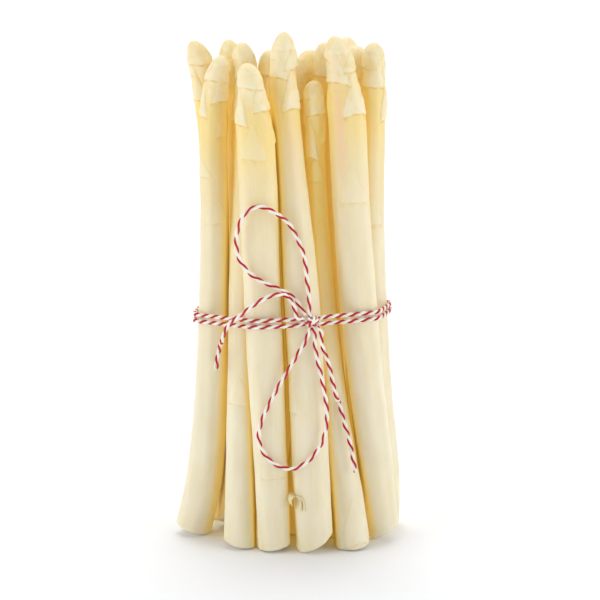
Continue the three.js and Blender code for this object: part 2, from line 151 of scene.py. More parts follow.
# The bow: points (x, z, how far the twine's middle stands in front of the stems).
BOW = {
    "twine_loop_upper": [
        (8.4, 106.4, 0.6), (8.4, 110, 1.2), (8, 115, LAID), (7.4, 120, LAID), (6.4, 128.5, LAID),
        (3.6, 136, LAID), (0, 142.5, LAID), (-5, 147.4, LAID), (-9.6, 149.8, LAID),
        (-13.2, 150, LAID), (-17, 148, LAID), (-19.6, 143.4, LAID), (-21.2, 135.6, LAID),
        (-19.8, 128, LAID), (-15, 122, LAID), (-9, 118.4, LAID), (-3.8, 116, LAID),
        (0.4, 113.2, LAID), (4.2, 109.6, 0.8), (5.6, 107.2, 0.6),
    ],
    "twine_loop_lower": [
        (8.2, 97.4, 0.4), (6.4, 93, 0.8), (3, 87, LAID), (-0.4, 81, LAID), (-4, 75, LAID),
        (-7.6, 68, LAID), (-10.8, 60.6, LAID), (-12.4, 53.2, LAID), (-10.6, 46, LAID),
        (-6, 41, LAID), (-1, 38.8, LAID), (4, 39.8, LAID), (10.4, 45, LAID), (14.6, 53, LAID),
        (15.8, 62, LAID), (15, 70.6, LAID), (13.4, 79, LAID), (11.6, 87, LAID),
        (10.8, 92.4, 0.8), (10.6, 97.4, 0.4),
    ],
    "twine_tail_left": [
        (3.8, 104.2, 1.6), (2.4, 108.6, 2.6), (0.6, 112, 4), (-2, 114.2, 4.2), (-5, 114.4, 4),
        (-8, 113.4, 3.2), (-13.4, 110.4, 2.4), (-18, 106.6, 1.4), (-22, 103, LAID),
        (-24.8, 99.6, LAID), (-26.4, 96, LAID), (-27.4, 92.6, LAID), (-28.4, 89, LAID),
        (-29.2, 85, LAID), (-30, 81, LAID), (-30.4, 77, LAID),
    ],
    "twine_tail_right": [
        (13.2, 98.2, 0.8), (13.4, 94.6, LAID), (13.9, 91.4, LAID), (15, 88, LAID),
        (16.2, 84.8, LAID), (17, 81.6, LAID), (17.6, 78.4, LAID), (18.3, 75, LAID),
        (19.1, 71.6, LAID), (20, 68, LAID), (20.9, 64.4, LAID), (21.8, 60.8, LAID),
        (22.7, 57.2, LAID), (23.7, 53.6, LAID), (24.8, 49.8, LAID), (26.2, 44, LAID),
        (27.1, 39, LAID), (28, 34.2, LAID),
    ],
}

# The knot's wraps: the way each runs, the way it is deep, and its half-width and half-depth.
KNOT_WRAPS = (
    ((0.55, 0, 0.84), (0, -1, 0), 2.2, 1.7),
    ((1, 0, 0.12), (0, -1, 0.1), 2.4, 1.2),
    ((-0.6, 0, 0.8), (0, -1, 0), 1.9, 1.1),
)
WRAP_POINTS = 60
KNOT_HIDDEN = 2.6

# Ways that a point of the skin looks along, either side of straight out, to see how buried it is.
VIEW_ANGLES = np.radians(np.arange(-80, 81, 16))

# Looks of the twine: a white and a red ply twisted together, tighter where the twine is taut.
WHITE_RADIUS, WHITE_OFFSET = 0.56, 0.39
RED_RADIUS, RED_OFFSET = 0.45, 0.5
TAUT_PITCH = 5.8
TAIL_PITCH = 7.1
LOOP_PITCH = 7.9
PLY_SIDES = 12
PLY_STEP = 0.46
PLY_END = 0.5
FIBRE_PITCH = 1.6
FRAY, FRAY_REACH = 0.5, 2.5

# Resolution of a spear's skin: points round it, the steps between its rings in millimetres, and
# the last millimetres below the tip with the number of rings there.
SKIN_SIDES = 96
PLAIN_STEP = 2.2
SCALY_STEP = 0.5
HEAD_STEP = 0.42
POINT = 3
POINT_RINGS = 12

# A spear's two materials, and how far its texture is shifted from the last spear's.
SKIN_SLOT, CUT_SLOT = 0, 1
TEXTURE_ASIDE, TEXTURE_UP = 31, 17

# Looks of the scales: how far a kind stands off the stem in millimetres, how dark the painted shadow
# under its foot is, and how pale its skin.
Relief = namedtuple("Relief", "lift edge pale")
BRACT = Relief(0.34, 0.5, 0.35)
HEAD_SCALE = Relief(0.85, 1.0, 0.9)
TIP_SCALE = Relief(0.36, 0.25, 0.9)
SCALE_EDGE = 0.16
MARGIN_LINE = 0.4

# The painted shade between stems is darkest where the next stem is this near, and fades over this
# reach beyond it.
CONTACT_GAP = 0.6
CONTACT_REACH = 1.7

# Looks of the cut ends and the skin by them, in millimetres.
RIM_HEIGHTS = [0, 0.25, 0.6, 1.1]
RIM_ROUNDING = 0.7
RIM_RAGGED = 0.12
SLANT_REACH = 30
CUT_RINGS = (1, 0.97, 0.93, 0.85, 0.72, 0.55, 0.38, 0.2, 0.03)
CUT_HOLLOW = 0.3
PEEL_THICKNESS = 0.22
PEEL_ROWS, PEEL_COLUMNS = 15, 7

# Loose strips of skin by the spear's number: height, the way of the place where it comes off and
# the way it curls to, length, width and curl in degrees.
PEELS = {
    4: ((18.5, 218, 203, 14.5, 6, 205), (19, 238, 214, 8.5, 2.4, 60)),
}

# Colours of the skin, as the light that it sends back.
IVORY, PALE_IVORY = (0.84, 0.765, 0.555), (0.88, 0.815, 0.635)
NECK_YELLOW = (0.95, 0.72, 0.24)
STREAK_TAN = (0.85, 0.66, 0.32)
FIBRE_WHITE = (0.97, 0.91, 0.74)
SCALE_WHITE = (0.98, 0.91, 0.70)
MOTTLE_TAN = (0.84, 0.66, 0.36)
SCALE_GOLD = (0.86, 0.66, 0.26)
BLUSH = (0.92, 0.54, 0.44)
# Brown of the scales' thin margins, also used for the painted shadow under their feet.
MARGIN_AND_SHADOW_BROWN = (0.74, 0.49, 0.08)
# Painted shade in the gaps between stems: golden where they are loosely packed, amber where they
# touch.
GAP_SHADE_GOLD = (0.93, 0.72, 0.24)
GAP_SHADE_AMBER = (0.60, 0.36, 0.005)
# Painted light: a warm glowing in the gaps, as if light came through the flesh.
PAINTED_GLOW = (0.92, 0.66, 0.12)

# Looks of single spears, by number: how yellow a stem is, and pink streaks (way, height, depth).
YELLOW = {2: 0.25, 5: 0.8, 7: 0.3, 8: 0.5, 9: 0.5, 10: 0.5, 11: 0.5}
PINK = {2: (300, 168, 0.3), 4: (285, 172, 0.35), 6: (246, 180, 0.8)}


def stream(seed):
    """Repeatable draws between 0 and 1."""
    state = seed
    while True:
        state = (state * 16807) % 2147483647
        yield state / 2147483647


def smoothstep(low, high, value):
    t = np.clip((value - low) / (high - low), 0, 1)
    return t * t * (3 - 2 * t)


def spear_radius(index, z):
    """A spear tapers gently from foot to neck, and closes to a blunt point."""
    spear = SPEARS[index]
    foot, waist, neck, head = spear.girth
    below = spear.length - np.asarray(z, float)
    stem = foot + (waist - foot) * smoothstep(0, WAIST, z)
    stem = stem + (neck - waist) * smoothstep(WAIST, spear.length - HEAD, z)
    shaft = (stem + (head - stem) * smoothstep(HEAD, spear.bud, below)) / 2
    share = np.clip(below / spear.bud, 0, 1)
    bud = head / 2 * (1 - (1 - share) ** 2) ** BUD_BLUNTNESS
    return np.where(below < spear.bud, bud, shaft)


def spear_reach(index, z):
    relief = np.where(z > SPEARS[index].length - SCALY_HEAD, HEAD_RELIEF, STEM_RELIEF)
    return spear_radius(index, z) + relief + GAP / 2


def drawn_axis(index, z):
    """The parabola through foot, waist and tip, with foot and head leaning aside, before packing."""
    spear = SPEARS[index]
    top = spear.length
    at_foot = (z - WAIST) * (z - top) / (WAIST * top)
    at_waist = z * (z - top) / (WAIST * (WAIST - top))
    at_tip = z * (z - WAIST) / (top * (top - WAIST))
    foot_lean, head_lean = spear.lean
    leaning = foot_lean * max(1 - z / LEAN_REACH, 0) ** 2
    leaning += head_lean * max(1 - (top - z) / LEAN_REACH, 0) ** 2
    foot_x, tip_x = spear.foot[0] - foot_lean, spear.tip[0] - head_lean
    x = foot_x * at_foot + spear.waist[0] * at_waist + tip_x * at_tip + leaning
    return [x, spear.foot[1] * at_foot + spear.waist[1] * at_waist + spear.tip[1] * at_tip]


def push_apart(level_axes, reaches):
    """Push apart every two spears that would overlap at one level."""
    alive = [index for index, reach in enumerate(reaches) if reach is not None]
    for place, i in enumerate(alive):
        for j in alive[place + 1:]:
            a, b = level_axes[i], level_axes[j]
            dx, dy = b[0] - a[0], b[1] - a[1]
            distance = math.hypot(dx, dy)
            short = reaches[i] + reaches[j] - distance
            if short <= 0:
                continue
            share = short / distance / 2
            level_axes[i] = [a[0] - dx * share, a[1] - dy * share]
            level_axes[j] = [b[0] + dx * share, b[1] + dy * share]


def pack_spears():
    """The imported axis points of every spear: an array by level, spear and coordinate."""
    heights = [level * LEVEL_STEP for level in range(LEVELS)]
    count = len(SPEARS)
    drawn = np.array([[drawn_axis(index, z) for index in range(count)] for z in heights])
    reaches = [
        [float(spear_reach(i, z)) if z <= SPEARS[i].length else None for i in range(count)]
        for z in heights
    ]
    axes = drawn.copy()
    for step in range(PUSH_ROUNDS + SETTLE_ROUNDS):
        for level in range(LEVELS):
            points = axes[level].tolist()
            push_apart(points, reaches[level])
            axes[level] = points
        if step < PUSH_ROUNDS:
            moved = axes - drawn
            middle = (moved[:-2] + moved[2:]) / 2
            axes[1:-1] += SMOOTHING * (middle - moved[1:-1])
    return axes


AXES = pack_spears()


def axis_at(index, z):
    """A spear's axis at any heights: a smooth curve through its packed levels."""
    place = np.clip(np.asarray(z, float) / LEVEL_STEP, 0, LEVELS - 1.001)
    level = np.floor(place).astype(int)
    t = (place - level)[..., None]
    p, q, r, s = (AXES[np.clip(level + k, 0, LEVELS - 1), index] for k in (-1, 0, 1, 2))
    return q + t * (r - p + t * (2 * p - 5 * q + 4 * r - s + t * (3 * (q - r) + s - p))) / 2


def tie_height(x, y):
    return TIE_HEIGHT + TIE_RISE_X * x + TIE_RISE_Y * y


def even_steps(points, step):
    """Points at equal steps along a polyline."""
    points = np.asarray(points, float)
    spans = np.linalg.norm(np.diff(points, axis=0), axis=1)
    lengths = np.concatenate([[0], np.cumsum(spans)])
    count = max(round(lengths[-1] / step), 2)
    wanted = np.linspace(0, lengths[-1], count + 1)
    return np.stack([np.interp(wanted, lengths, points[:, i]) for i in range(3)], axis=1)


def tie_outline(offset):
    """The stretched outline round all the spears, at the height of the tie."""
    angles = np.radians(np.linspace(-90, 270, TIE_WAYS + 1))
    ways = np.stack([np.cos(angles), np.sin(angles)], axis=1)
    middles, reaches = [], []
    for index in range(len(SPEARS)):
        rough = axis_at(index, TIE_HEIGHT)
        z = tie_height(*rough) + offset
        middles.append(axis_at(index, z))
        reaches.append(float(spear_radius(index, z)) + TWINE / 2 + TURN_CLEARANCE)
    middles, reaches = np.array(middles), np.array(reaches)
    best = np.argmax(ways @ middles.T + reaches, axis=1)
    points = middles[best] + reaches[best, None] * ways
    heights = tie_height(points[:, 0], points[:, 1]) + offset
    return np.column_stack([points, heights])


TIE_OUTLINE = even_steps(tie_outline(0), 1)


def front_of_stems(x, z):
    """Where the foremost surface of the stems lies, seen from the front, over a narrow window."""
    samples = x + DRAPE_REACH * np.arange(-DRAPE_SAMPLES, DRAPE_SAMPLES + 1) / DRAPE_SAMPLES
    front = math.inf
    for index in range(len(SPEARS)):
        axis_x, axis_y = axis_at(index, z)
        reach = float(spear_reach(index, z))
        side = samples - axis_x
        hit = np.abs(side) < reach
        if hit.any():
            front = min(front, (axis_y - np.sqrt(reach ** 2 - side[hit] ** 2)).min())
    return front


def front_of_tie(x):
    near = (TIE_OUTLINE[:, 1] < 0) & (np.abs(TIE_OUTLINE[:, 0] - x) < DRAPE_REACH)
    return TIE_OUTLINE[near, 1].min()


def front_at(x, z):
    """The foremost surface of stems and tie together."""
    stems = front_of_stems(x, z)
    nearness = float(smoothstep(TIE_ZONE, TIE_ZONE / 2, abs(z - tie_height(x, stems))))
    return stems + nearness * min(front_of_tie(x) - TWINE / 2 - stems, 0)


def through(points, per_span=20):
    """A smooth curve through points: centripetal, so that it never loops between them."""
    points = np.asarray(points, float)
    ends = 2 * points[0] - points[1], 2 * points[-1] - points[-2]
    points = np.vstack([ends[0], points, ends[1]])
    curve = []
    for p0, p1, p2, p3 in zip(points, points[1:], points[2:], points[3:]):
        spans = [max(np.linalg.norm(b - a), 1e-4) ** 0.5 for a, b in ((p0, p1), (p1, p2), (p2, p3))]
        start = (p1 - p0) / spans[0] - (p2 - p0) / (spans[0] + spans[1]) + (p2 - p1) / spans[1]
        end = (p2 - p1) / spans[1] - (p3 - p1) / (spans[1] + spans[2]) + (p3 - p2) / spans[2]
        start, end = start * spans[1], end * spans[1]
        for t in np.arange(per_span) / per_span:
            a = 2 * t ** 3 - 3 * t ** 2 + 1
            b = t ** 3 - 2 * t ** 2 + t
            c = -2 * t ** 3 + 3 * t ** 2
            d = t ** 3 - t ** 2
            curve.append(a * p1 + b * start + c * p2 + d * end)
    curve.append(points[-2])
    return np.array(curve)


def to_row(points):
    """From the layout's millimetres to the part's own frame in metres."""
    points = np.asarray(points, float)
    return (points - np.array([MIDDLE[0], MIDDLE[1], 0])) * MM


class Skin:
    """Collects vertices, faces and per-vertex values, and turns them into one mesh object."""

    def __init__(self):
        self.points, self.faces, self.slots = [], [], []
        self.values = {}
        self.count = 0

    def add(self, points, faces, slot=0, **values):
        points = np.asarray(points, float).reshape(-1, 3)
        self.points.append(points)
        self.faces.extend([tuple(int(i) + self.count for i in face) for face in faces])
        self.slots.extend([slot] * len(faces))
        for name, value in values.items():
            value = np.broadcast_to(np.asarray(value, float), np.shape(value) or (len(points),))
            self.values.setdefault(name, []).append((self.count, value))
        self.count += len(points)

    def build(self, name, materials):
        mesh = bpy.data.meshes.new(name)
        mesh.from_pydata(to_row(np.vstack(self.points)).tolist(), [], self.faces)
        for key, parts in self.values.items():
            wide = parts[0][1].ndim > 1
            kind = "FLOAT_VECTOR" if wide else "FLOAT"
            attribute = mesh.attributes.new(key, kind, "POINT")
            data = np.zeros((self.count, 3) if wide else self.count)
            for start, value in parts:
                data[start:start + len(value)] = value
            attribute.data.foreach_set("vector" if wide else "value", data.ravel())
        for material in materials:
            mesh.materials.append(material)
        mesh.polygons.foreach_set("material_index", self.slots)
        mesh.polygons.foreach_set("use_smooth", [True] * len(mesh.polygons))
        mesh.update()
        piece = bpy.data.objects.new(name, mesh)
        bpy.context.collection.objects.link(piece)
        return piece


def grid_faces(rows, columns, wrap=False, flip=False, start=0):
    """Quads of a grid of points, row by row."""
    faces = []
    last = columns if wrap else columns - 1
    for row in range(rows - 1):
        for k in range(last):
            right = (k + 1) % columns
            a, b = start + row * columns + k, start + row * columns + right
            quad = (a, b, b + columns, a + columns)
            faces.append(quad[::-1] if flip else quad)
    return faces


# Materials

class Nodes:
    """Short names for building a material's nodes."""

    def __init__(self, name):
        self.material = bpy.data.materials.new(name)
        self.material.use_nodes = True
        self.tree = self.material.node_tree
        self.shader = self.tree.nodes["Principled BSDF"]

    def add(self, kind, **settings):
        node = self.tree.nodes.new(kind)
        for key, value in settings.items():
            setattr(node, key, value)
        return node

    def link(self, source, target):
        self.tree.links.new(source, target)

    def value(self, name):
        return self.add("ShaderNodeAttribute", attribute_name=name).outputs["Fac"]

    def vector(self, name):
        return self.add("ShaderNodeAttribute", attribute_name=name).outputs["Vector"]

    def math(self, operation, a, b):
        node = self.add("ShaderNodeMath", operation=operation)
        for socket, item in zip(node.inputs, (a, b)):
            if isinstance(item, (int, float)):
                socket.default_value = item
            else:
                self.link(item, socket)
        return node.outputs[0]

    def times(self, value, strength):
        return self.math("MULTIPLY", value, strength)

    def noise(self, vector, detail, roughness, stretch):
        mapping = self.add("ShaderNodeMapping")
        mapping.inputs["Scale"].default_value = stretch
        self.link(vector, mapping.inputs["Vector"])
        noise = self.add("ShaderNodeTexNoise")
        noise.inputs["Scale"].default_value = 1
        noise.inputs["Detail"].default_value = detail
        noise.inputs["Roughness"].default_value = roughness
        self.link(mapping.outputs["Vector"], noise.inputs["Vector"])
        return noise.outputs["Fac"]

    def spread(self, value, low, high, to_low=0.0, to_high=1.0):
        node = self.add("ShaderNodeMapRange", interpolation_type="SMOOTHSTEP")
        ends = {"From Min": low, "From Max": high, "To Min": to_low, "To Max": to_high}
        for key, number in ends.items():
            node.inputs[key].default_value = number
        self.link(value, node.inputs["Value"])
        return node.outputs["Result"]

    def mix(self, factor, a, b):
        node = self.add("ShaderNodeMix", data_type="RGBA")
        for socket, item in ((node.inputs[0], factor), (node.inputs[6], a), (node.inputs[7], b)):
            if isinstance(item, (int, float)):
                socket.default_value = item
            elif isinstance(item, tuple):
                socket.default_value = (*item, 1)
            else:
                self.link(item, socket)
        return node.outputs[2]

    def bump(self, heights):
        """Bumps one on another: (height, strength, distance in metres)."""
        normal = None
        for height, strength, distance in heights:
            node = self.add("ShaderNodeBump")
            node.inputs["Strength"].default_value = strength
            node.inputs["Distance"].default_value = distance
            self.link(height, node.inputs["Height"])
            if normal is not None:
                self.link(normal, node.inputs["Normal"])
            normal = node.outputs["Normal"]
        self.link(normal, self.shader.inputs["Normal"])


def asparagus_material():
    """Ivory skin: yellower by the neck, paler scales with thin margins and painted shadow under their
    feet, painted amber shade and glowing painted light in the gaps.
    """
    n = Nodes("asparagus_skin")
    skin = n.vector("skin")
    crevice, scaly = n.value("crevice"), n.value("scaly")
    fibres = n.noise(skin, 3, 0.6, (2.4, 2.4, 0.06))
    streaks = n.noise(skin, 2, 0.5, (0.8, 0.8, 0.035))
    coarse = n.noise(skin, 2, 0.5, (0.16, 0.16, 0.05))
    mottle = n.noise(skin, 4, 0.6, (0.9, 0.9, 0.5))
    patches = n.noise(skin, 2, 0.5, (0.22, 0.22, 0.16))
    layers = (
        (n.value("warm"), NECK_YELLOW),
        (n.spread(streaks, 0.55, 0.75, 0, 0.15), STREAK_TAN),
        (n.spread(fibres, 0.45, 0.75, 0, 0.15), FIBRE_WHITE),
        (n.times(scaly, 0.45), SCALE_WHITE),
        (n.spread(mottle, 0.6, 0.8, 0, 0.2), MOTTLE_TAN),
        (n.times(scaly, n.spread(patches, 0.5, 0.68, 0, 0.55)), SCALE_GOLD),
        (n.times(n.value("pink"), 0.5), BLUSH),
        # Margins of the scales, and painted shadow under their feet.
        (n.times(n.value("margin"), 0.75), MARGIN_AND_SHADOW_BROWN),
        # Painted shade in the gaps between stems: golden, then amber where they touch.
        (n.spread(crevice, 0.04, 0.55, 0, 0.7), GAP_SHADE_GOLD),
        (n.spread(crevice, 0.45, 0.95), GAP_SHADE_AMBER),
    )
    base = n.mix(n.spread(coarse, 0.3, 0.7), IVORY, PALE_IVORY)
    for factor, colour in layers:
        base = n.mix(factor, base, colour)
    # Painted light: emission in the gaps between stems, standing in for light that passes through the
    # flesh.
    painted_glow = n.times(n.math("POWER", crevice, 1.5), n.spread(crevice, 0.5, 1, 0.3, 0.06))
    shader = n.shader
    n.link(base, shader.inputs["Base Color"])
    n.link(painted_glow, shader.inputs["Emission Strength"])
    shader.inputs["Emission Color"].default_value = (*PAINTED_GLOW, 1)
    shader.inputs["Roughness"].default_value = 0.42
    shader.inputs["Subsurface Weight"].default_value = 0.35
    shader.inputs["Subsurface Radius"].default_value = (1.0, 0.68, 0.25)
    shader.inputs["Subsurface Scale"].default_value = 0.004
    shader.inputs["IOR"].default_value = 1.4
    n.bump([(fibres, 0.12, 0.0003), (mottle, 0.15, 0.0003)])
    return n.material


def cut_material():
    """The cut end: moist pale flesh, with darker dots of the vessels and a tougher rim."""
    n = Nodes("asparagus_cut")
    skin = n.vector("skin")
    cells = n.add("ShaderNodeTexVoronoi")
    cells.inputs["Scale"].default_value = 0.75
    n.link(skin, cells.inputs["Vector"])
    dots = n.spread(cells.outputs["Distance"], 0.16, 0.3, 1, 0)
    mottle = n.noise(skin, 4, 0.6, (0.5, 0.5, 0.5))
    base = n.mix(mottle, (0.93, 0.88, 0.70), (0.86, 0.77, 0.52))
    base = n.mix(n.times(dots, 0.5), base, (0.70, 0.55, 0.28))
    base = n.mix(n.times(n.value("margin"), 0.6), base, (0.78, 0.62, 0.34))
    n.link(base, n.shader.inputs["Base Color"])
    n.shader.inputs["Roughness"].default_value = 0.36
    n.shader.inputs["Subsurface Weight"].default_value = 0.3
    n.shader.inputs["Subsurface Radius"].default_value = (1.0, 0.62, 0.22)
    n.shader.inputs["Subsurface Scale"].default_value = 0.003
    n.bump([(dots, 0.5, 0.0003), (mottle, 0.3, 0.0005)])
    return n.material


def ply_material(name, light, dark):
    """One cotton ply: fine fibres wound round it, some a little darker than others."""
    n = Nodes(name)
    fibre = n.noise(n.vector("skin"), 3, 0.6, (0.5, 6.0, 1.0))
    n.link(n.mix(n.spread(fibre, 0.3, 0.7), dark, light), n.shader.inputs["Base Color"])
    n.shader.inputs["Roughness"].default_value = 0.85
    n.shader.inputs["Sheen Weight"].default_value = 0.3
    n.shader.inputs["Sheen Roughness"].default_value = 0.5
    n.bump([(fibre, 0.6, 0.00015)])
    return n.material


SKIN_MATERIAL = asparagus_material()
CUT_MATERIAL = cut_material()
WHITE_PLY = ply_material("twine_white", (1, 0.96, 0.9), (0.93, 0.87, 0.78))
RED_PLY = ply_material("twine_red", (0.60, 0.008, 0.025), (0.40, 0.003, 0.01))


# Camera, set before anything else is made

def place_camera():
    data = bpy.data.cameras.new("camera")
    data.sensor_width = SENSOR
    data.lens = SENSOR * PIXELS_PER_MM * CAMERA_DISTANCE / PICTURE
    camera = bpy.data.objects.new("camera", data)
    bpy.context.collection.objects.link(camera)
    lift = math.radians(CAMERA_ELEVATION)
    back = Vector((0, -math.cos(lift), math.sin(lift)))
    aim = Vector(to_row(AIM))
    camera.location = aim + back * CAMERA_DISTANCE * MM
    camera.rotation_euler = back.to_track_quat("Z", "Y").to_euler()
    data.clip_end = 3 * FLOOR_REACH
    bpy.context.scene.camera = camera


place_camera()


# Twine

def carried_frames(points):
    """Directions across a path that turn with it and never twist."""
    along = np.gradient(points, axis=0)
    along /= np.linalg.norm(along, axis=1)[:, None]
    side = np.cross(along[0], [0, -1, 0.2])
    sides = []
    for way in along:
        side = side - way * side.dot(way)
        side = side / np.linalg.norm(side)
        sides.append(side)
    sides = np.array(sides)
    return along, sides, np.cross(along, sides)


def add_ply(skin, points, pitch, is_red, fray=0.0):
    """One ply wound round a path, with rounded ends; fray spreads the plies at the far end."""
    thick, aside = (RED_RADIUS, RED_OFFSET) if is_red else (WHITE_RADIUS, WHITE_OFFSET)
    _, side, up = carried_frames(points)
    spans = np.linalg.norm(np.diff(points, axis=0), axis=1)
    run = np.concatenate([[0], np.cumsum(spans)])
    turn = math.pi * is_red - 2 * math.pi * run / pitch
    left = run[-1] - run
    offset = aside * (1 + fray * np.exp(-left / FRAY_REACH))
    middle = points + offset[:, None] * (np.cos(turn)[:, None] * side + np.sin(turn)[:, None] * up)
    _, side, up = carried_frames(middle)
    ends = np.minimum(run, left)
    radius = thick * np.sqrt(np.clip(ends / PLY_END, 0.02, 1))
    angle = 2 * math.pi * np.arange(PLY_SIDES) / PLY_SIDES
    ring = np.cos(angle)[None, :, None] * side[:, None] + np.sin(angle)[None, :, None] * up[:, None]
    surface = middle[:, None] + radius[:, None, None] * ring
    count = len(points)
    wound = angle[None, :] / (2 * math.pi) - run[:, None] / FIBRE_PITCH
    texture = np.stack([
        np.repeat(run[:, None], PLY_SIDES, 1),
        np.abs((wound % 1) * 2 - 1),
        np.full((count, PLY_SIDES), 22.0 * is_red),
    ], axis=2).reshape(-1, 3)
    faces = grid_faces(count, PLY_SIDES, wrap=True)
    faces.append(tuple(range(PLY_SIDES))[::-1])
    faces.append(tuple(range((count - 1) * PLY_SIDES, count * PLY_SIDES)))
    skin.add(surface, faces, int(is_red), skin=texture)


def dress_twine(name, node, paths, pitch, fray=0.0):
    skin = Skin()
    for points in paths:
        for is_red in (False, True):
            add_ply(skin, points, pitch, is_red, fray)
    piece = skin.build(name, [WHITE_PLY, RED_PLY])
    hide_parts(node)
    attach(piece, "root")
    return piece


KNOT_MIDDLE = np.array([KNOT_X, front_of_tie(KNOT_X) - KNOT_PROUD, KNOT_Z])


def into_knot(point):
    """Where a strand that ends at this point has gone in the knot."""
    return point + (KNOT_MIDDLE - point) * KNOT_HIDDEN / np.linalg.norm(KNOT_MIDDLE - point)


for node, route in BOW.items():
    laid = np.array([(x, front_at(x, z) - lift, z) for x, z, lift in route])
    is_tail = "tail" in node
    far = laid[-1:] if is_tail else np.array([laid[-1], into_knot(laid[-1])])
    path = even_steps(through(np.vstack([into_knot(laid[0]), laid[:-1], far])), PLY_STEP)
    pitch, fray = (TAIL_PITCH, FRAY) if is_tail else (LOOP_PITCH, 0)
    cord = dress_twine(node.replace("twine_", "bow_"), node, [path], pitch, fray)

for node, offset in (("twine_turn_upper", TURN_SPREAD), ("twine_turn_lower", -TURN_SPREAD)):
    outline = even_steps(tie_outline(offset), 1)
    free = (outline[:, 1] > 0) | (np.abs(outline[:, 0] - KNOT_X) > KNOT_WIDTH / 2 + GAP)
    start = int(np.argmax((outline[:, 0] > KNOT_X) & free))
    order = np.concatenate([np.arange(start, len(outline)), np.arange(1, start)])
    turned = outline[order][free[order]]
    turned = np.vstack([into_knot(turned[0]), turned, into_knot(turned[-1])])
    dress_twine(node.replace("twine_", "tie_"), node, [even_steps(turned, PLY_STEP)], TAUT_PITCH)


def knot_wraps():
    """The knot: crossing wraps of twine drawn tight over one another."""
    paths = []
    for way, deep, wide, thick in KNOT_WRAPS:
        way = np.array(way) / np.linalg.norm(way)
        deep = np.array(deep) - way * np.dot(way, deep)
        deep /= np.linalg.norm(deep)
        angle = np.linspace(0, 2 * math.pi, WRAP_POINTS)[:, None]
        ring = KNOT_MIDDLE + wide * np.cos(angle) * way + thick * np.sin(angle) * deep
        paths.append(even_steps(ring, PLY_STEP))
    return paths


dress_twine("tie_knot", "twine_knot", knot_wraps(), TAUT_PITCH)


# Spears

def crevice_of(index, surface):
    """How deep in the bundle a point of the skin lies, from 0 in the open to 1 at a contact; it sets
    the painted shade and painted light in the gaps.
    """
    heights = surface[:, 2]
    own = axis_at(index, heights)
    facing = np.arctan2(surface[:, 1] - own[:, 1], surface[:, 0] - own[:, 0])
    blocked = np.zeros((len(VIEW_ANGLES), len(surface)), bool)
    nearest = np.full(len(surface), 1e9)
    for other in range(len(SPEARS)):
        if other == index:
            continue
        apart = axis_at(other, heights) - surface[:, :2]
        distance = np.linalg.norm(apart, axis=1)
        reach = np.where(heights > SPEARS[other].length, 0, spear_radius(other, heights))
        nearest = np.minimum(nearest, np.where(reach > 0, distance - reach, 1e9))
        half = np.arcsin(np.clip(reach / np.maximum(distance, 0.01), 0, 1))
        bearing = np.arctan2(apart[:, 1], apart[:, 0])
        for step, view in enumerate(VIEW_ANGLES):
            off = (facing + view - bearing + math.pi) % (2 * math.pi) - math.pi
            blocked[step] |= np.abs(off) < half
    weights = np.cos(VIEW_ANGLES)
    buried = weights @ blocked / weights.sum()
    contact = np.exp(-np.clip(nearest - CONTACT_GAP, 0, None) / CONTACT_REACH)
    return 0.5 * smoothstep(0.2, 1, buried) + 0.5 * contact * smoothstep(0, 0.5, buried)


def scales_of(index):
    """Every bract and head scale of a spear: base, length, way, half-width and relief."""
    spear = SPEARS[index]
    draw = stream(SEED + SEED_STEP * index)
    drawn = []
    for step, drop in enumerate(BRACT_DROPS):
        base = spear.length - drop * (0.95 + 0.1 * next(draw))
        long = BRACT_LENGTH * (0.8 + 0.4 * next(draw))
        drawn.append((base, long, spear.turn - GOLDEN_ANGLE * (step + 1)))
    scales = []
    for base, long, facing in FRONT_BRACTS.get(index + 1, drawn):
        half_width = math.radians(BRACT_HALF_WIDTH * (0.85 + 0.3 * next(draw)))
        scales.append((base, long, math.radians(facing), half_width, BRACT))
    facing = spear.turn
    for below, long, half_width in HEAD_SCALES:
        base = spear.length - below * (0.97 + 0.06 * next(draw))
        scales.append((base, long, math.radians(facing), math.radians(half_width), HEAD_SCALE))
        facing += GOLDEN_ANGLE + 12 * (next(draw) - 0.5)
    for below, long, half_width in TIP_SCALES:
        base = spear.length - below
        scales.append((base, long, math.radians(facing), math.radians(half_width), TIP_SCALE))
        facing += GOLDEN_ANGLE
    return scales


def ribs(index, angle, z):
    """Low ribs, dents and swellings that run along a stem."""
    phase = 1.7 * index
    wave = 0.10 * np.cos(5 * angle + phase + 0.01 * z) + 0.07 * np.cos(8 * angle - phase + 0.016 * z)
    wave = wave + 0.14 * np.cos(2 * angle + 0.021 * z + phase) + 0.08 * np.sin(0.09 * z + 2 * phase)
    lumps = np.sin(0.75 * z + 2 * angle + phase) * np.cos(3 * angle - 0.4 * z)
    on_head = smoothstep(34, 22, SPEARS[index].length - z)
    return wave + 0.05 * np.sin(0.31 * z + 3 * angle + phase) + 0.2 * on_head * lumps


